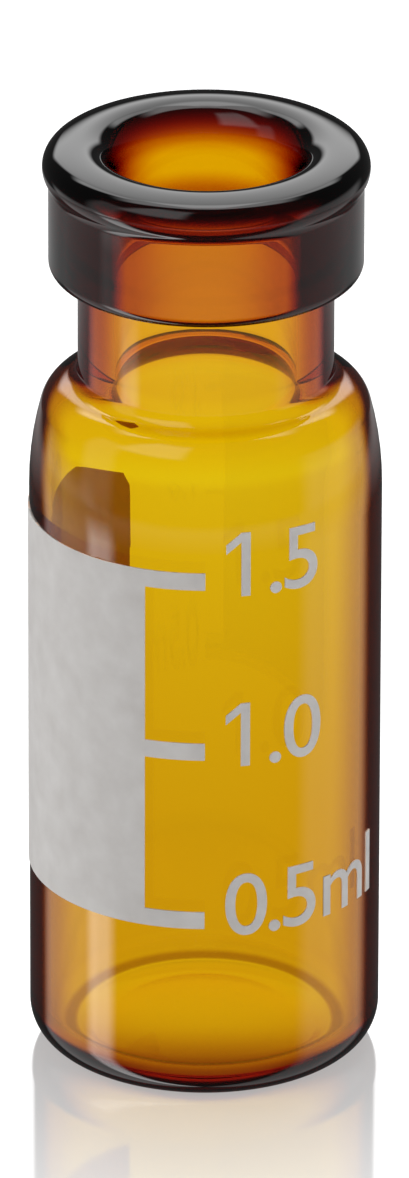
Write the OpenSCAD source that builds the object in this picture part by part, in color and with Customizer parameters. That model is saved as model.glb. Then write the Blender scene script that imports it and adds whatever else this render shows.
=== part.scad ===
// Glass sample vial, 2 mL size with a crimp neck.
// One piece of amber tubing glass, flame formed at both ends, with a fired-on white print.
// Z is the vial's axis, z = 0 is the ring that it stands on, and -Y is the front.
// All sizes are in millimetres.

/* [Body] */
// Height from the standing ring to the top of the rim
vial_h = 32; // [28:0.5:45]
// Outside diameter of the tube
body_d = 11.6; // [11:0.1:14]
// Thickness of the tube wall
wall_t = 0.7; // [0.6:0.05:1.1]

/* [Base] */
// Thickness of the glass floor
floor_t = 0.8; // [0.6:0.1:1.4]
// Rounding of the outside bottom edge
heel_r = 1.3; // [0.8:0.1:1.6]
// Rounding inside, where the floor meets the wall
floor_corner_r = 0.9; // [0.4:0.1:1.4]
// Radius of the push-up under the base
push_up_r = 3.6; // [2.5:0.1:3.8]
// Height of the push-up under the base
push_up_h = 0.4; // [0.2:0.05:0.8]

/* [Shoulder] */
// Height of the shoulder, from the straight body to its crest
shoulder_h = 3.75; // [3.2:0.05:4.5]
// Radius of the long arc that leans in from the body
shoulder_arc_r = 11; // [6:0.5:16]
// Radius of the tight arc that turns in towards the neck
crest_r = 1.2; // [0.6:0.1:2]
// Radius of the hollow where the shoulder runs up into the neck
neck_blend_r = 0.5; // [0.3:0.1:1.2]
// Thickness of the glass under the crest
roof_t = 0.75; // [0.6:0.05:1.2]
// Rounding inside, where the wall turns in under the crest
roof_corner_r = 1.4; // [0.4:0.1:1.8]

/* [Neck] */
// Outside diameter of the neck
neck_d = 8.4; // [7.6:0.1:9]
// Height from the shoulder's crest to the underside of the crimp flange
neck_h = 3.85; // [3:0.05:6]
// Diameter of the bore through the flange and the neck
bore_d = 6.0; // [5:0.1:6.4]
// Rounding where the bore opens into the body
bore_lip_r = 1.6; // [0.6:0.1:2]

/* [Crimp flange] */
// Diameter of the straight wall that the skirt of an 11 mm cap slides over
flange_d = 10.32; // [10:0.02:10.8]
// Height of the flange, its fire-polished rim included
flange_h = 4.4; // [3:0.05:5]
// How far the fire-polished rim stands out past the straight wall
rim_bulge = 0.2; // [0.1:0.02:0.3]
// Rounding of the rim's outside edge
rim_r = 0.7; // [0.4:0.05:0.9]
// Hollow where the rim runs out into the straight wall
rim_blend_r = 0.5; // [0.2:0.1:1]
// Radius of the shallow crown on top of the rim
crown_r = 3.4; // [2:0.1:6]
// Rounding of the mouth, which starts at the highest point of the crown
mouth_r = 1.1; // [0.5:0.05:1.3]
// Rounding of the flange's lower edge, which the cap is crimped under
under_edge_r = 0.4; // [0.1:0.05:0.6]
// Hollow between the flange's underside and the neck
under_blend_r = 0.3; // [0.2:0.05:0.8]

/* [Print] */
// Thickness of the fired ceramic ink
ink_t = 0.04; // [0.03:0.01:0.08]
// Width of the write-on patch, measured round the tube
patch_w = 13.3; // [8:0.1:14]
// Length of the graduation ticks that run from the patch to the front
tick_l = 2.0; // [1:0.1:3]
// Width of a tick
tick_w = 0.6; // [0.3:0.05:1]
// Height of the lowest tick's middle, which marks 0.5 mL
tick_z = 6.8; // [5:0.1:7]
// Distance from one tick to the next
tick_step = 6.1; // [4:0.1:6.3]
// Number of ticks
tick_count = 3; // [2:1:3]

/* [Hidden] */
$fn = 180;

body_r = body_d / 2;
neck_r = neck_d / 2;
bore_r = bore_d / 2;
flange_r = flange_d / 2;
rim_outer_r = flange_r + rim_bulge;

// Heights up the axis
flange_z = vial_h - flange_h;
crest_z = flange_z - neck_h;
body_top_z = crest_z - shoulder_h;
roof_z = crest_z - roof_t;

// The push-up is part of a sphere, and the floor above it is concentric
push_up_sphere_r = (push_up_r^2 + push_up_h^2) / (2 * push_up_h);
push_up_centre = [0, push_up_h - push_up_sphere_r];

// Round stretches that run into each other overlap by this much where they touch
cross = 0.005;

// The crown is highest where the mouth's rounding starts, and runs down into the rim's edge
crown_centre = [bore_r + mouth_r, vial_h - crown_r];
rim_x = rim_outer_r - rim_r;
rim_centre = [rim_x, crown_centre.y + sqrt((crown_r - rim_r + cross)^2 - (rim_x - crown_centre.x)^2)];

// The print ends at the front, and runs clockwise round the tube seen from above
print_front_a = 270;
tick_a = tick_l / body_r * 180 / PI;
patch_a = patch_w / body_r * 180 / PI;
patch_bottom_z = tick_z - tick_w / 2;
patch_h = (tick_count - 1) * tick_step + tick_w;

// Centre of the arc, of radius r, that rounds the top of a shoulder arc at height top_z
function crest_centre(arc_r, r, top_z) =
    [body_r - shoulder_arc_r + sqrt((arc_r - r + cross)^2 - (top_z - r - body_top_z)^2), top_z - r];

// How far an arc of radius r lies above a circle that it touches, dx to the side of its centre.
// Past the top of the circle, the arc lies on the flat that is level with that top.
function rise(circle_r, r, dx) = dx > 0 ? sqrt((circle_r + r - cross)^2 - dx^2) : circle_r + r;

// What a rounding of radius r takes off a square corner, or puts into a hollow one
module corner(r) {
    difference() {
        square(r);
        translate([r, r]) circle(r);
    }
}

// Half section of a shoulder: the long arc, the tight crest arc and the fill below them
module shoulder_section(arc_r, r, top_z) {
    foot = [body_r - shoulder_arc_r, body_top_z];
    crest = crest_centre(arc_r, r, top_z);
    lean = atan2(crest.y - foot.y, crest.x - foot.x);
    beyond = 2 * arc_r;
    intersection() {
        translate(foot) circle(arc_r);
        polygon([foot, foot + [beyond, 0], foot + beyond * [cos(lean), sin(lean)]]);
    }
    translate(crest) circle(r);
    polygon([[0, foot.y], [crest.x, foot.y], [crest.x, top_z], [0, top_z]]);
}

// Half section of the hollow blend, of radius r, that runs from a round edge up to the upright
// wall at x. The round edge has radius edge_r, and its centre is edge_x out at height 0.
module hollow_blend_section(edge_x, edge_r, x, r) {
    blend = [x + r, rise(edge_r, r, x + r - edge_x)];
    difference() {
        polygon([[0, 0], [min(edge_x, blend.x), 0], blend, [0, blend.y]]);
        translate(blend) circle(r);
    }
}

// Half section of the crimp flange, with its crowned rim and rounded lower edge
module flange_section() {
    slope = rim_centre - crown_centre;
    difference() {
        translate([0, flange_z]) square([flange_r, rim_centre.y - flange_z]);
        translate([flange_r, flange_z]) mirror([1, 0]) corner(under_edge_r);
    }
    translate([0, flange_z]) square([crown_centre.x, flange_h]);
    intersection() {
        translate(crown_centre) circle(crown_r);
        polygon([crown_centre, crown_centre + 2 * slope, crown_centre + [0, 2 * crown_r]]);
    }
    translate(rim_centre) circle(rim_r);
    translate([0, rim_centre.y]) mirror([0, 1])
        hollow_blend_section(rim_centre.x, rim_r, flange_r, rim_blend_r);
    translate([neck_r, flange_z]) mirror([0, 1]) corner(under_blend_r);
}

// Half section of the vial's outside
module outer_section() {
    crest = crest_centre(shoulder_arc_r, crest_r, crest_z);
    difference() {
        square([body_r, body_top_z]);
        translate([body_r, 0]) mirror([1, 0]) corner(heel_r);
        translate(push_up_centre) circle(push_up_sphere_r);
    }
    shoulder_section(shoulder_arc_r, crest_r, crest_z);
    translate([0, crest.y]) hollow_blend_section(crest.x, crest_r, neck_r, neck_blend_r);
    translate([0, crest.y]) square([neck_r, flange_z - crest.y]);
    flange_section();
}

// The glass that fills the corner between the floor and the wall
module floor_corner_section() {
    inner_r = body_r - wall_t;
    x = inner_r - floor_corner_r;
    blend = [x, push_up_centre.y + rise(push_up_sphere_r + floor_t, floor_corner_r, x)];
    foot_x = x * push_up_centre.y / (push_up_centre.y - blend.y);
    difference() {
        polygon([[foot_x, 0], [inner_r, 0], [inner_r, blend.y], blend]);
        translate(blend) circle(floor_corner_r);
    }
}

// Half section of the space inside, from the floor to the mouth
module cavity_section() {
    roof_corner = crest_centre(shoulder_arc_r - wall_t, roof_corner_r, roof_z);
    difference() {
        square([body_r - wall_t, body_top_z]);
        translate(push_up_centre) circle(push_up_sphere_r + floor_t);
        floor_corner_section();
    }
    shoulder_section(shoulder_arc_r - wall_t, roof_corner_r, roof_z);
    translate([0, roof_corner.y])
        hollow_blend_section(roof_corner.x, roof_corner_r, bore_r, bore_lip_r);
    translate([0, roof_corner.y]) square([bore_r, vial_h - roof_corner.y]);
    translate([bore_r, vial_h]) mirror([0, 1]) corner(mouth_r);
}

// The whole vial is one piece of glass
module amber_glass_body() {
    color("#C8860A", 0.6)
        rotate_extrude()
            intersection() {
                difference() {
                    outer_section();
                    cavity_section();
                }
                square([body_d, vial_h]);
            }
}

// A field of ink on the tube, from angle a over a sweep, between two heights
module ink_field(a, sweep, z, h) {
    rotate_extrude(angle = sweep, start = a)
        translate([body_r, z]) square([ink_t, h]);
}

// The write-on patch and the ticks are one layer of ink
module white_ceramic_print() {
    color("#D2D0CC") {
        ink_field(print_front_a - tick_a - patch_a, patch_a, patch_bottom_z, patch_h);
        for (i = [0 : tick_count - 1])
            ink_field(print_front_a - 1.5 * tick_a, 1.5 * tick_a, patch_bottom_z + i * tick_step, tick_w);
    }
}

amber_glass_body();
white_ceramic_print();
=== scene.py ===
import math

import bmesh
import bpy
from mathutils import Matrix, Vector


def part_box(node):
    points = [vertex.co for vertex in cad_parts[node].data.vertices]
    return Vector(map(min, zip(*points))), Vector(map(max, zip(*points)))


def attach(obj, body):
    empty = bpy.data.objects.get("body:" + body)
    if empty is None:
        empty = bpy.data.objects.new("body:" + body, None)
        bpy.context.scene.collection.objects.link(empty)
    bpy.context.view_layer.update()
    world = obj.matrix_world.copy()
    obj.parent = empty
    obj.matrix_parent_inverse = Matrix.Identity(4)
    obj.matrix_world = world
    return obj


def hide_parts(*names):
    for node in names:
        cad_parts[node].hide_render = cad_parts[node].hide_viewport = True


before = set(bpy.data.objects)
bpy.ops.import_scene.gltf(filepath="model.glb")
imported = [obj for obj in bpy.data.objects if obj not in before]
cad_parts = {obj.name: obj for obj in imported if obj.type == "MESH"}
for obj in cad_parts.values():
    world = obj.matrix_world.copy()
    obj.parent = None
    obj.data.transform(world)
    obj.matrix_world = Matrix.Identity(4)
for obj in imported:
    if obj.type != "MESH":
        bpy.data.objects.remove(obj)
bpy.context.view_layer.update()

# Camera
# A long lens looks down at the front of the vial, which stands upright and fills most of the
# picture's height. The lens follows from the height that is framed where the vial stands.
mm = 0.001
camera_elevation = math.radians(24.36)
camera_roll = math.radians(0.15)
camera_distance = 522 * mm
framed_height = 38.8 * mm
aim = Vector((-0.026, 0, 16.12)) * mm
sensor = 36.0
clip_near, clip_far = 10 * mm, 20.0
camera_data = bpy.data.cameras.new("camera")
camera_data.sensor_width = sensor
camera_data.lens = sensor * camera_distance / framed_height
camera_data.clip_start, camera_data.clip_end = clip_near, clip_far
camera = bpy.data.objects.new("camera", camera_data)
bpy.context.scene.collection.objects.link(camera)
back = Vector((0, -math.cos(camera_elevation), math.sin(camera_elevation)))
camera.location = aim + back * camera_distance
camera.rotation_euler = ((-back).to_track_quat("-Z", "Y").to_matrix()
                         @ Matrix.Rotation(camera_roll, 3, "Z")).to_euler()
bpy.context.scene.camera = camera

# Amber glass vial
# One length of borosilicate tubing, flame formed at both ends: the floor is melted shut, and the
# shoulder, the neck and the crimp flange are rolled to shape. The hollow inside follows the wall.
vial_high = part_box("amber_glass_body")[1]
vial_h = vial_high.z
body_r = vial_high.x
wall_t, roof_t = 0.7 * mm, 0.75 * mm
floor_t = 0.8 * mm
heel_r = 1.3 * mm
floor_corner_r = 0.9 * mm
push_up_r, push_up_h = 3.6 * mm, 0.4 * mm
shoulder_h = 3.75 * mm
shoulder_arc_r = 11.0 * mm
crest_r, roof_corner_r = 1.2 * mm, 1.4 * mm
neck_r, neck_h = 4.2 * mm, 3.85 * mm
neck_blend_r = 0.5 * mm
bore_r, bore_lip_r = 3.0 * mm, 1.6 * mm
flange_r, flange_h = 5.16 * mm, 4.4 * mm
rim_bulge, rim_r, rim_blend_r = 0.2 * mm, 0.7 * mm, 0.5 * mm
crown_r, mouth_r = 3.4 * mm, 1.1 * mm
under_edge_r, under_blend_r = 0.4 * mm, 0.3 * mm
arc_step, least_arc_steps = math.radians(5), 5
hold = 0.04 * mm
steps_round = 240
weld = 0.0005 * mm

inner_r = body_r - wall_t
flange_z = vial_h - flange_h
crest_z = flange_z - neck_h
body_top_z = crest_z - shoulder_h
roof_z = crest_z - roof_t
push_up_sphere_r = (push_up_r**2 + push_up_h**2) / (2 * push_up_h)
floor_sphere_r = push_up_sphere_r + floor_t
push_up_centre_z = push_up_h - push_up_sphere_r


def run_to(mesh, end, x, z):
    """Carries the outline straight on from its end to a point, and returns the new end.
    A point close to each end keeps the shading flat between them."""
    start, stop = end.co.copy(), Vector((x, 0, z))
    near = (stop - start).normalized() * hold
    for place in (start + near, stop - near, stop):
        end = bmesh.ops.extrude_vert_indiv(mesh, verts=[end])["verts"][0]
        end.co = place
    return end


def turn(mesh, end, centre_x, centre_z, degrees):
    """Carries the outline on round an arc, anticlockwise where degrees is positive."""
    angle = math.radians(degrees)
    made = bmesh.ops.spin(
        mesh, geom=[end], cent=(centre_x, 0, centre_z), axis=(0, -1, 0), dvec=(0, 0, 0),
        angle=angle, steps=max(least_arc_steps, math.ceil(abs(angle) / arc_step)), use_duplicate=False)
    return made["geom_last"][0]


def bearing(from_x, from_z, to_x, to_z):
    """Direction from one point of the outline to another, in degrees."""
    return math.degrees(math.atan2(to_z - from_z, to_x - from_x))


# Centres of the shoulder's two arcs, outside and inside, and of the blends at the neck and rim
shoulder_x = body_r - shoulder_arc_r
crest_c = Vector((shoulder_x + math.sqrt((shoulder_arc_r - crest_r)**2
                                         - (crest_z - crest_r - body_top_z)**2), crest_z - crest_r))
neck_blend_c = Vector((neck_r + neck_blend_r, 0))
neck_blend_c.y = crest_c.y + math.sqrt((crest_r + neck_blend_r)**2 - (neck_blend_c.x - crest_c.x)**2)
crown_c = Vector((bore_r + mouth_r, vial_h - crown_r))
rim_c = Vector((flange_r + rim_bulge - rim_r, 0))
rim_c.y = crown_c.y + math.sqrt((crown_r - rim_r)**2 - (rim_c.x - crown_c.x)**2)
rim_blend_c = Vector((flange_r + rim_blend_r, 0))
rim_blend_c.y = rim_c.y - math.sqrt((rim_r + rim_blend_r)**2 - (rim_blend_c.x - rim_c.x)**2)
hollow_arc_r = shoulder_arc_r - wall_t
hollow_c = Vector((0, roof_z - roof_corner_r))
hollow_c.x = shoulder_x + math.sqrt((hollow_arc_r - roof_corner_r)**2 - (hollow_c.y - body_top_z)**2)
lip_c = Vector((bore_r + bore_lip_r, 0))
lip_c.y = hollow_c.y + math.sqrt((roof_corner_r + bore_lip_r)**2 - max(0, lip_c.x - hollow_c.x)**2)
hollow_lean = bearing(shoulder_x, body_top_z, *hollow_c)
hollow_end = min(90, bearing(*hollow_c, *lip_c))
floor_corner_c = Vector((inner_r - floor_corner_r, 0))
floor_corner_c.y = push_up_centre_z + math.sqrt((floor_sphere_r + floor_corner_r)**2
                                                - floor_corner_c.x**2)

lean = bearing(shoulder_x, body_top_z, *crest_c)
crest_end = bearing(*crest_c, *neck_blend_c)
rim_start = bearing(*rim_c, *rim_blend_c)
rim_end = bearing(*crown_c, *rim_c)
floor_slope = bearing(0, push_up_centre_z, *floor_corner_c)
push_up_slope = math.degrees(math.asin(push_up_r / push_up_sphere_r))

glass = bmesh.new()
start = glass.verts.new((0, 0, push_up_h))
end = turn(glass, start, 0, push_up_centre_z, -push_up_slope)
end = run_to(glass, end, body_r - heel_r, 0)
end = turn(glass, end, body_r - heel_r, heel_r, 90)
end = run_to(glass, end, body_r, body_top_z)
end = turn(glass, end, shoulder_x, body_top_z, lean)
end = turn(glass, end, *crest_c, crest_end - lean)
end = turn(glass, end, *neck_blend_c, -crest_end)
end = run_to(glass, end, neck_r, flange_z - under_blend_r)
end = turn(glass, end, neck_r + under_blend_r, flange_z - under_blend_r, -90)
end = run_to(glass, end, flange_r - under_edge_r, flange_z)
end = turn(glass, end, flange_r - under_edge_r, flange_z + under_edge_r, 90)
end = run_to(glass, end, flange_r, rim_blend_c.y)
end = turn(glass, end, *rim_blend_c, rim_start)
end = turn(glass, end, *rim_c, rim_end - rim_start)
end = turn(glass, end, *crown_c, 90 - rim_end)
end = turn(glass, end, bore_r + mouth_r, vial_h - mouth_r, 90)
end = run_to(glass, end, bore_r, lip_c.y)
end = turn(glass, end, *lip_c, hollow_end)
if hollow_c.x > lip_c.x:
    end = run_to(glass, end, hollow_c.x, roof_z)
end = turn(glass, end, *hollow_c, hollow_lean - hollow_end)
end = turn(glass, end, shoulder_x, body_top_z, -hollow_lean)
end = run_to(glass, end, inner_r, floor_corner_c.y)
end = turn(glass, end, *floor_corner_c, floor_slope - 180)
end = turn(glass, end, 0, push_up_centre_z, 90 - floor_slope)
bmesh.ops.spin(
    glass, geom=glass.verts[:] + glass.edges[:], cent=(0, 0, 0), axis=(0, 0, 1), dvec=(0, 0, 0),
    angle=math.tau, steps=steps_round, use_merge=True, use_duplicate=False)
bmesh.ops.remove_doubles(glass, verts=glass.verts, dist=weld)
bmesh.ops.recalc_face_normals(glass, faces=glass.faces)


def piece(name, mesh, material):
    """A finished object made of one material, smooth but for its sharp edges."""
    crease = math.radians(40)
    for face in mesh.faces:
        face.smooth = True
    for edge in mesh.edges:
        edge.smooth = edge.calc_face_angle(0) < crease
    data = bpy.data.meshes.new(name)
    mesh.to_mesh(data)
    mesh.free()
    data.materials.append(material)
    made = bpy.data.objects.new(name, data)
    bpy.context.scene.collection.objects.link(made)
    return made


def linear(code):
    """Linear colour of a six-digit sRGB hex code."""
    parts = [int(code[i:i + 2], 16) / 255 for i in (1, 3, 5)]
    return [c / 12.92 if c <= 0.04045 else ((c + 0.055) / 1.055)**2.4 for c in parts] + [1]


def new_material(name):
    """A material with its node tree, which is empty."""
    made = bpy.data.materials.new(name)
    made.use_nodes = True
    made.node_tree.nodes.clear()
    return made, made.node_tree


def add(tree, kind, links=None, **settings):
    """Adds a node, sets its attributes or input values, and links its inputs from outputs.
    A node given in place of an output stands for its first one."""
    node = tree.nodes.new(kind)
    for key, value in settings.items():
        setattr(node, key, value)
    for key, value in (links or {}).items():
        if isinstance(value, bpy.types.Node):
            value = value.outputs[0]
        if isinstance(value, bpy.types.NodeSocket):
            tree.links.new(value, node.inputs[key])
        else:
            node.inputs[key].default_value = value
    return node


# Amber borosilicate, fire polished: clear and smooth, brown from the iron in it, so it takes almost
# all of the blue, a little more of the green with every millimetre, and hardly any of the red.
# The colour is in the depth of the glass. On top of that, painted shade lowers what its surface lets
# in where the eye looks along the wall and on the thick glass of the flange, the neck and the heel,
# which gives them painted dark edges.
absorption_scale = 4 / mm
absorption = (0.011, 0.0825, 1.0)
amber, tree = new_material("amber_borosilicate_glass")
place = add(tree, "ShaderNodeTexCoord")
xyz = add(tree, "ShaderNodeSeparateXYZ", {0: place.outputs["Object"]})
out_from_axis = add(tree, "ShaderNodeCombineXYZ", {0: xyz.outputs["X"], 1: xyz.outputs["Y"]})
radius = add(tree, "ShaderNodeVectorMath", {0: out_from_axis}, operation="LENGTH")
geometry = add(tree, "ShaderNodeNewGeometry")
turned_out = add(tree, "ShaderNodeVectorMath", {
    0: geometry.outputs["Normal"], 1: out_from_axis}, operation="DOT_PRODUCT")
outside = add(tree, "ShaderNodeMath", {0: turned_out.outputs["Value"], 1: 0.0}, operation="GREATER_THAN")
inside = add(tree, "ShaderNodeMath", {0: 1.0, 1: outside}, operation="SUBTRACT")
height, reach = xyz.outputs["Z"], radius.outputs["Value"]
past_floor = add(tree, "ShaderNodeMath", {
    0: reach, 1: body_r - heel_r - 0.05 * mm}, operation="GREATER_THAN")
on_heel = add(tree, "ShaderNodeMath", {0: outside, 1: past_floor}, operation="MULTIPLY")
low_down = add(tree, "ShaderNodeMath", {0: height, 1: floor_corner_c.y}, operation="LESS_THAN")
on_corner = add(tree, "ShaderNodeMath", {0: inside, 1: low_down}, operation="MULTIPLY")
facing = add(tree, "ShaderNodeLayerWeight", {"Blend": 0.5}).outputs["Facing"]

# For each zone: its side of the wall, its foot, the power of the red that the green falls to, and its
# painted shade, the share of light let in. That is a product of ramps, each with the value that it
# reads, from where to where, and its level at the first and at the last. A higher zone takes over from
# the ones below it. The ramps paint shade where the eye looks along the wall, at the foot of the body,
# at the top of the flange, and in the bore and the mouth.
zone_blend = 0.1 * mm
corner_shade_level, corner_x = 0.6, floor_corner_c.x
zones = (
    # The corner inside, where the floor meets the wall, has a painted brown ring of shade
    (on_corner, 0.5 * mm, 1.6, (
        (reach, corner_x - 0.05 * mm, corner_x + 0.15 * mm, 1.0, corner_shade_level),
        (reach, corner_x + 0.3 * mm, corner_x + 0.55 * mm, 1.0, 1 / corner_shade_level))),
    # Heel
    (on_heel, -1 * mm, 1.6, ((facing, 0.14, 0.42, 0.82, 0.05),)),
    # Body and shoulder
    (outside, heel_r, 1.6, (
        (facing, 0.36, 0.56, 1.0, 0.68), (facing, 0.54, 0.69, 1.0, 0.08),
        (height, 1.5 * mm, 3.6 * mm, 0.82, 1.0))),
    # Neck
    (outside, crest_z + 0.1 * mm, 2.3, (
        (facing, 0.22, 0.5, 1.0, 0.5), (facing, 0.52, 0.66, 1.0, 0.1))),
    # Flange, with its rim
    (outside, flange_z - 0.1 * mm, 2.3, (
        (facing, 0.07, 0.2, 0.82, 0.58), (facing, 0.2, 0.27, 1.0, 0.04),
        (height, vial_h - 1.1 * mm, vial_h - 0.4 * mm, 1.0, 0.02))),
    # Bore and mouth
    (inside, flange_z + 0.8 * mm, 2.8, (
        (facing, 0.15, 0.9, 0.94, 0.0), (height, vial_h - 1.6 * mm, vial_h - 0.05 * mm, 1.0, 0.0),
        (height, vial_h - 3.05 * mm, vial_h - 2.05 * mm, 0.52, 1.0))))
painted_shade = linear("#FFFFFF")
for side, foot, green_power, ramps in zones:
    red = 1.0
    for value, start, stop, first, last in ramps:
        ramp = add(tree, "ShaderNodeMapRange", {
            0: value, 1: start, 2: stop, 3: first, 4: last}, interpolation_type="SMOOTHSTEP")
        red = add(tree, "ShaderNodeMath", {0: red, 1: ramp}, operation="MULTIPLY")
    green = add(tree, "ShaderNodeMath", {0: red, 1: green_power}, operation="POWER")
    zone_shade = add(tree, "ShaderNodeCombineColor", {0: red, 1: green, 2: green})
    above = add(tree, "ShaderNodeMapRange", {0: height, 1: foot - zone_blend, 2: foot + zone_blend})
    here = add(tree, "ShaderNodeMath", {0: above, 1: side}, operation="MULTIPLY")
    painted_shade = add(tree, "ShaderNodeMix", {0: here, 6: painted_shade, 7: zone_shade}, data_type="RGBA").outputs[2]

# The shader lets in the square root of its colour, and what leaves the glass doesn't take the painted
# shade again
squared = add(tree, "ShaderNodeMix", {
    0: 1.0, 6: painted_shade, 7: painted_shade}, data_type="RGBA", blend_type="MULTIPLY")
shade_where_entering = add(tree, "ShaderNodeMix", {
    0: geometry.outputs["Backfacing"], 6: squared.outputs[2], 7: linear("#FFFFFF")}, data_type="RGBA")
skin = add(tree, "ShaderNodeBsdfPrincipled", {
    "Base Color": shade_where_entering.outputs[2], "Roughness": 0.0, "IOR": 1.5, "Transmission Weight": 1.0})
depth = add(tree, "ShaderNodeVolumeAbsorption", {
    "Color": [1 - share for share in absorption] + [1], "Density": absorption_scale})
add(tree, "ShaderNodeOutputMaterial", {"Surface": skin, "Volume": depth})

vial = piece("vial_glass", glass, amber)
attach(vial, "root")
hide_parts("amber_glass_body")

# Fired white print
# Matt white ceramic ink, screen printed on the finished tube and fired on: a write-on patch, and
# three fill marks that run from it to the front. The layer is thin, and a little light comes through.
ink_t = 0.04 * mm
ink_sunk = 0.01 * mm
patch_w = 13.3 * mm
tick_l, tick_w = 2.0 * mm, 0.6 * mm
tick_z, tick_step, tick_count = 6.8 * mm, 6.1 * mm, 3
print_step = math.radians(2)


def round_the_tube(mesh, geom, angle):
    """Carries a line of ink on round the tube, to the right where the angle is positive."""
    return bmesh.ops.spin(
        mesh, geom=geom, cent=(0, 0, 0), axis=(0, 0, 1), dvec=(0, 0, 0), angle=angle,
        steps=math.ceil(abs(angle) / print_step), use_duplicate=False)["geom_last"]


def thicken_ink(mesh):
    """Gives a sheet of ink, which lies on the tube, its thickness, and sinks its back in the glass."""
    bmesh.ops.recalc_face_normals(mesh, faces=mesh.faces)
    top = mesh.faces[:]
    made = bmesh.ops.extrude_face_region(mesh, geom=top)["geom"]
    for vert in (v for v in made if isinstance(v, bmesh.types.BMVert)):
        vert.co.xy *= (body_r + ink_t) / vert.co.xy.length
    for vert in {v for face in top for v in face.verts}:
        vert.co.xy *= (body_r - ink_sunk) / vert.co.xy.length
    bmesh.ops.recalc_face_normals(mesh, faces=mesh.faces)


enamel = bmesh.new()
tick_angle = tick_l / body_r
column_x, column_y = -body_r * math.sin(tick_angle), -body_r * math.cos(tick_angle)
column = []
for i in range(tick_count):
    for z in (tick_z + i * tick_step - tick_w / 2, tick_z + i * tick_step + tick_w / 2):
        column.append(enamel.verts.new((column_x, column_y, z)))
        if len(column) > 1:
            enamel.edges.new(column[-2:])
tick_ends = [edge for edge in enamel.edges if edge.calc_length() < (tick_w + tick_step) / 2]
round_the_tube(enamel, enamel.verts[:] + enamel.edges[:], -patch_w / body_r)
round_the_tube(enamel, tick_ends + list({v for e in tick_ends for v in e.verts}), tick_angle)
thicken_ink(enamel)

# Ceramic ink: glass frit and white pigment, screen printed and fired. It dries a little uneven, so
# its white is clouded and its skin is matt with a fine grain. It is thin enough for some light to
# come through. Its back, against the glass, is painted warmer and lighter: painted light for the amber
# light that reaches it through the glass.
cloud_size, grain_size = 0.9 * mm, 0.11 * mm
grain_depth = 0.01 * mm
ink_scatter = 0.02 * mm
ink, tree = new_material("fired_white_ceramic_ink")
place = add(tree, "ShaderNodeTexCoord")
clouds = add(tree, "ShaderNodeTexNoise", {
    "Vector": place.outputs["Object"], "Scale": 1 / cloud_size, "Detail": 3.0})
grain = add(tree, "ShaderNodeTexNoise", {
    "Vector": place.outputs["Object"], "Scale": 1 / grain_size, "Detail": 2.0})
face_white = add(tree, "ShaderNodeMix", {
    0: clouds, 6: linear("#B9B5B2"), 7: linear("#D2D0CE")}, data_type="RGBA")
xyz = add(tree, "ShaderNodeSeparateXYZ", {0: place.outputs["Object"]})
out_from_axis = add(tree, "ShaderNodeCombineXYZ", {0: xyz.outputs["X"], 1: xyz.outputs["Y"]})
geometry = add(tree, "ShaderNodeNewGeometry")
turned_out = add(tree, "ShaderNodeVectorMath", {
    0: geometry.outputs["Normal"], 1: out_from_axis}, operation="DOT_PRODUCT")
on_glass = add(tree, "ShaderNodeMath", {0: turned_out.outputs["Value"], 1: 0.0}, operation="LESS_THAN")
# The back of the ink, against the glass, takes a warm, light colour: painted light for the amber light
# that reaches it through the glass
white = add(tree, "ShaderNodeMix", {
    0: on_glass, 6: face_white.outputs[2], 7: linear("#F8DCCB")}, data_type="RGBA")
roughness = add(tree, "ShaderNodeMapRange", {0: clouds, 3: 0.5, 4: 0.62})
relief = add(tree, "ShaderNodeBump", {"Height": grain, "Strength": 0.25, "Distance": grain_depth})
skin = add(tree, "ShaderNodeBsdfPrincipled", {
    "Base Color": white.outputs[2], "Roughness": roughness, "Normal": relief,
    "Subsurface Weight": 1.0, "Subsurface Scale": ink_scatter, "Subsurface Radius": (1, 1, 1)})
add(tree, "ShaderNodeOutputMaterial", {"Surface": skin})

patch = piece("write_on_patch", enamel, ink)
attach(patch, "root")
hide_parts("white_ceramic_print")

# Fill numbers
# The same white ink, screen printed in the same pass as the marks: plain upright numbers, in
# millilitres, which are set out flat to the right of each mark and wrapped round the tube.
digit_h = 2.25 * mm
face_size = 3.15 * mm
stroke_gain = 0.01 * mm
sign_x = (0.68 * mm, 2.16 * mm, 2.68 * mm, 4.28 * mm, 6.66 * mm)
number_drop = 0.55 * mm
number_rows = ("0.5ml", "1.0", "1.5")
one_stem_w, one_flag_w = 0.3 * mm, 0.5 * mm
one_flag_h, one_flag_fall = 0.32 * mm, 0.42 * mm
slice_w = 0.15 * mm
sign_weld = 0.002 * mm


def flat_one(mesh, x, z):
    """The figure one: a stem, with a flag that falls to the left from its top."""
    left, right, top = x + one_flag_w, x + one_flag_w + one_stem_w, z + digit_h
    stem = [mesh.verts.new((px, 0, pz)) for px, pz in (
        (left, z), (right, z), (right, top), (left, top), (left, top - one_flag_h))]
    flag = [mesh.verts.new((x, 0, top - drop)) for drop in (one_flag_fall, one_flag_fall + one_flag_h)]
    bmesh.ops.contextual_create(mesh, geom=stem)
    bmesh.ops.contextual_create(mesh, geom=[stem[3], flag[0], flag[1], stem[4]])


def flat_sign(mesh, sign, x, z):
    """A figure, a point or a letter of the plain built-in face, with its left edge at x."""
    curve = bpy.data.curves.new("sign", "FONT")
    curve.body, curve.size, curve.offset = sign, face_size, stroke_gain
    writing = bpy.data.objects.new("sign", curve)
    shape = bpy.data.meshes.new_from_object(writing)
    left = min(v.co.x for v in shape.vertices)
    shape.transform(Matrix.Translation((x - left, 0, z)) @ Matrix.Rotation(math.pi / 2, 4, "X"))
    mesh.from_mesh(shape)
    bpy.data.objects.remove(writing)
    bpy.data.curves.remove(curve)
    bpy.data.meshes.remove(shape)


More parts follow.
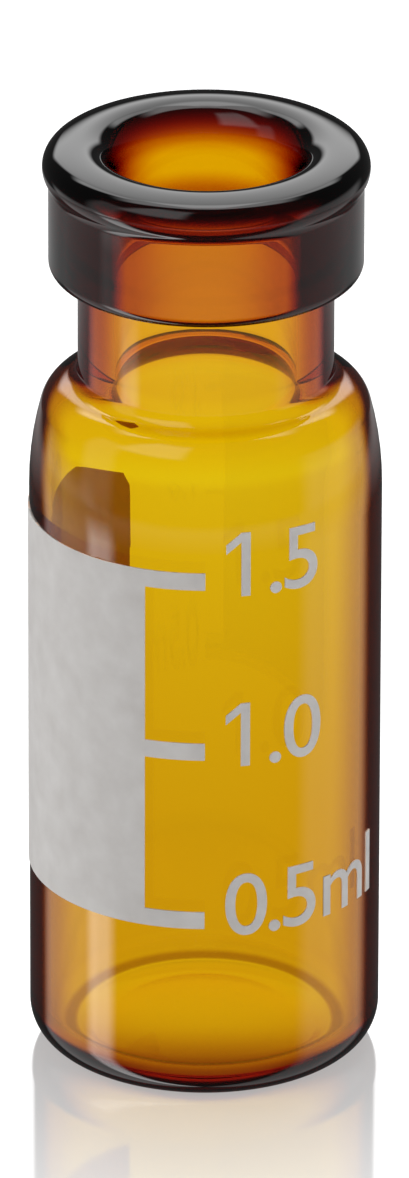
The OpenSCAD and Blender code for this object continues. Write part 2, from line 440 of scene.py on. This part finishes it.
numbers = bmesh.new()
for i, row in enumerate(number_rows):
    for x, sign in zip(sign_x, row):
        z = tick_z + i * tick_step - number_drop
        if sign == "1":
            flat_one(numbers, x, z)
        else:
            flat_sign(numbers, sign, x, z)
bmesh.ops.remove_doubles(numbers, verts=numbers.verts, dist=sign_weld)
across = max(v.co.x for v in numbers.verts)
for i in range(math.ceil(across / slice_w)):
    bmesh.ops.bisect_plane(
        numbers, geom=numbers.verts[:] + numbers.edges[:] + numbers.faces[:],
        plane_co=(i * slice_w, 0, 0), plane_no=(1, 0, 0))
for vert in numbers.verts:
    angle = vert.co.x / body_r
    vert.co.xy = body_r * math.sin(angle), -body_r * math.cos(angle)
thicken_ink(numbers)
signs = piece("fill_numbers", numbers, ink)
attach(signs, "root")

# Floor
# A sheet of white acrylic, lit from below, so that it stays pale round the vial and still takes its
# soft shadow. It mirrors what stands on it, most of all close to the vial.
table_half = 2.0
under_floor = 0.02 * mm
near, clear_of_vial = 6 * mm, 14 * mm
glow_near, glow_far = 0.40, 0.58
mirror_near, mirror_far = 0.40, 0.25
table = bmesh.new()
bmesh.ops.create_grid(table, x_segments=1, y_segments=1, size=table_half)
bmesh.ops.translate(table, verts=table.verts, vec=(0, 0, -under_floor))
acrylic, tree = new_material("white_acrylic_table")
path = add(tree, "ShaderNodeLightPath")
place = add(tree, "ShaderNodeTexCoord")
xyz = add(tree, "ShaderNodeSeparateXYZ", {0: place.outputs["Object"]})
from_vial = add(tree, "ShaderNodeVectorMath", {0: place.outputs["Object"]}, operation="LENGTH")
away = from_vial.outputs["Value"]
shine = add(tree, "ShaderNodeMapRange", {
    0: away, 1: near, 2: clear_of_vial, 3: mirror_near, 4: mirror_far})
pale = add(tree, "ShaderNodeMapRange", {
    0: away, 1: near, 2: clear_of_vial, 3: glow_near, 4: glow_far})
white = add(tree, "ShaderNodeBsdfDiffuse", {"Color": linear("#959595")})
mirror = add(tree, "ShaderNodeBsdfGlossy", {"Color": linear("#FFFFFF"), "Roughness": 0.06})
skin = add(tree, "ShaderNodeMixShader", {0: shine, 1: white, 2: mirror})
glow = add(tree, "ShaderNodeEmission", {"Color": linear("#FFFFFF"), "Strength": pale})
lit = add(tree, "ShaderNodeAddShader", {0: skin, 1: glow})

# In what the glass mirrors, the floor is left out and the dark of the room shows in its place, but
# for a grey ring, which shows in the flange
ring_in, ring_out = (50 * mm, 68 * mm), (74 * mm, 88 * mm)
ring_share, ring_level = 0.9, 0.42
ring_starts = add(tree, "ShaderNodeMapRange", {
    0: away, 1: ring_in[0], 2: ring_in[1], 3: 0.0, 4: ring_share})
ring_ends = add(tree, "ShaderNodeMapRange", {
    0: away, 1: ring_out[0], 2: ring_out[1], 3: 1.0, 4: 0.0})
in_ring = add(tree, "ShaderNodeMath", {0: ring_starts, 1: ring_ends}, operation="MULTIPLY")
below = add(tree, "ShaderNodeBsdfTransparent")
ring = add(tree, "ShaderNodeEmission", {"Color": linear("#FFFFFF"), "Strength": ring_level})
mirrored = add(tree, "ShaderNodeMixShader", {0: in_ring, 1: below, 2: ring})

# What shows of the floor through the glass is a pale ground, which is warmer close to the vial, where
# light that has come through the amber falls on it. Under the front of the base it is in brown shade.
warm_near, warm_far = 5 * mm, 72 * mm
shade_full, shade_out = -4.2 * mm, 0
shade_level, open_level, shade_green_power = 0.42, 1.1, 2.0
base_edge, base_end = 4 * mm, 7 * mm
farness = add(tree, "ShaderNodeMapRange", {
    0: away, 1: warm_near, 2: warm_far}, interpolation_type="SMOOTHSTEP")
ground = add(tree, "ShaderNodeMix", {
    0: farness, 6: linear("#D4BD96"), 7: linear("#EDF1F3")}, data_type="RGBA")
under_base = add(tree, "ShaderNodeMapRange", {
    0: xyz.outputs["Y"], 1: shade_full, 2: shade_out, 3: shade_level, 4: open_level},
    interpolation_type="SMOOTHSTEP")
red = add(tree, "ShaderNodeMapRange", {
    0: away, 1: base_edge, 2: base_end, 3: under_base, 4: 1.0}, interpolation_type="SMOOTHSTEP")
green = add(tree, "ShaderNodeMath", {0: red, 1: shade_green_power}, operation="POWER")
shade = add(tree, "ShaderNodeCombineColor", {0: red, 1: green, 2: green})
shaded = add(tree, "ShaderNodeMix", {
    0: 1.0, 6: ground.outputs[2], 7: shade}, data_type="RGBA", blend_type="MULTIPLY")
through_glass = add(tree, "ShaderNodeEmission", {"Color": shaded.outputs[2], "Strength": 1.0})
in_mirror = add(tree, "ShaderNodeMixShader", {0: path.outputs["Is Glossy Ray"], 1: lit, 2: mirrored})
seen = add(tree, "ShaderNodeMixShader", {
    0: path.outputs["Is Transmission Ray"], 1: in_mirror, 2: through_glass})
add(tree, "ShaderNodeOutputMaterial", {"Surface": seen})
table_top = piece("table_top", table, acrylic)

# Studio
# A white backdrop, which the eye sees behind the vial. What the glass mirrors is a dark room with
# pale strips, panels and a ceiling, by azimuth and elevation, and what shows through it is the sky of
# the backdrop, which darkens upwards. The azimuth runs from the front towards the right.
backdrop, room_lighting, room_mirrored = 1.0, 0.4, 0.06
sky_starts, sky_ends = 0.30, 0.75
sky_low, sky_high = 0.86, 0.45
# Each light: azimuth, half width, lowest and highest elevation, softness, all in degrees, and level
lights = (
    (-73, 9, -90, -18, 10, 3.6),
    (-76, 12, -15, 38, 10, 0.5),
    (-103, 26, -90, -12, 10, 0.75),
    (98, 30, -90, 0, 14, 0.6),
    (180, 26, 17, 80, 8, 2.3),
    (-145, 8, 38, 60, 8, 3.0),
    (145, 8, 38, 60, 8, 2.6),
    (-42, 24, 30, 70, 12, 1.3),
    (180, 75, 60, 90, 14, 2.6))
world = bpy.data.worlds.new("studio")
bpy.context.scene.world = world
world.use_nodes = True
tree = world.node_tree
tree.nodes.clear()
path = add(tree, "ShaderNodeLightPath")
place = add(tree, "ShaderNodeTexCoord")
xyz = add(tree, "ShaderNodeSeparateXYZ", {0: place.outputs["Generated"]})
forward = add(tree, "ShaderNodeMath", {0: xyz.outputs["Y"], 1: -1.0}, operation="MULTIPLY")
azimuth = add(tree, "ShaderNodeMath", {0: xyz.outputs["X"], 1: forward}, operation="ARCTAN2")
elevation = add(tree, "ShaderNodeMath", {0: xyz.outputs["Z"]}, operation="ARCSINE")
room = room_mirrored
for centre, half, low, high, softness, level in lights:
    turned = add(tree, "ShaderNodeMath", {0: azimuth, 1: math.radians(centre)}, operation="SUBTRACT")
    cosine = add(tree, "ShaderNodeMath", {0: turned}, operation="COSINE")
    off_centre = add(tree, "ShaderNodeMath", {0: cosine}, operation="ARCCOSINE")
    light = level
    for angle, edge, way in ((off_centre, half, -1), (elevation, low, 1), (elevation, high, -1)):
        out, full = math.radians(edge - way * softness / 2), math.radians(edge + way * softness / 2)
        within = add(tree, "ShaderNodeMapRange", {
            0: angle, 1: out, 2: full}, interpolation_type="SMOOTHSTEP")
        light = add(tree, "ShaderNodeMath", {0: light, 1: within}, operation="MULTIPLY")
    room = add(tree, "ShaderNodeMath", {0: room, 1: light}, operation="ADD")
sky = add(tree, "ShaderNodeMapRange", {
    0: xyz.outputs["Z"], 1: sky_starts, 2: sky_ends, 3: sky_low, 4: sky_high},
    interpolation_type="SMOOTHSTEP")
in_mirror = add(tree, "ShaderNodeMix", {0: path.outputs["Is Glossy Ray"], 2: room_lighting, 3: room})
through_glass = add(tree, "ShaderNodeMix", {
    0: path.outputs["Is Transmission Ray"], 2: in_mirror, 3: sky})
seen = add(tree, "ShaderNodeMix", {0: path.outputs["Is Camera Ray"], 2: through_glass, 3: backdrop})
air = add(tree, "ShaderNodeBackground", {"Color": linear("#FFFFFF"), "Strength": seen})
add(tree, "ShaderNodeOutputWorld", {"Surface": air})


def soft_box(name, azimuth, elevation, distance, size, radiance):
    """A square lamp that faces the vial. It lights the print and the floor, not the glass."""
    data = bpy.data.lights.new(name, "AREA")
    data.shape, data.size = "SQUARE", size
    data.energy = radiance * math.pi * size**2
    made = bpy.data.objects.new(name, data)
    a, e = math.radians(azimuth), math.radians(elevation)
    toward = Vector((math.sin(a) * math.cos(e), -math.cos(a) * math.cos(e), math.sin(e)))
    made.location = toward * distance + Vector((0, 0, vial_h / 2))
    made.rotation_euler = toward.to_track_quat("Z", "Y").to_euler()
    made.visible_camera = made.visible_transmission = made.visible_glossy = False
    bpy.context.scene.collection.objects.link(made)


soft_box("overhead_box", azimuth=165, elevation=70, distance=0.6, size=0.35, radiance=3.0)
soft_box("left_box", azimuth=-95, elevation=25, distance=0.6, size=0.3, radiance=3.9)
soft_box("front_fill", azimuth=-35, elevation=35, distance=0.8, size=0.5, radiance=1.15)
soft_box("right_fill", azimuth=50, elevation=25, distance=0.6, size=0.3, radiance=2.3)

# Light goes through many walls of glass before it is lost
glass_bounces = 32
scene = bpy.context.scene
scene.view_settings.view_transform = "Standard"
scene.cycles.max_bounces = glass_bounces
scene.cycles.transmission_bounces = glass_bounces
scene.cycles.glossy_bounces = glass_bounces
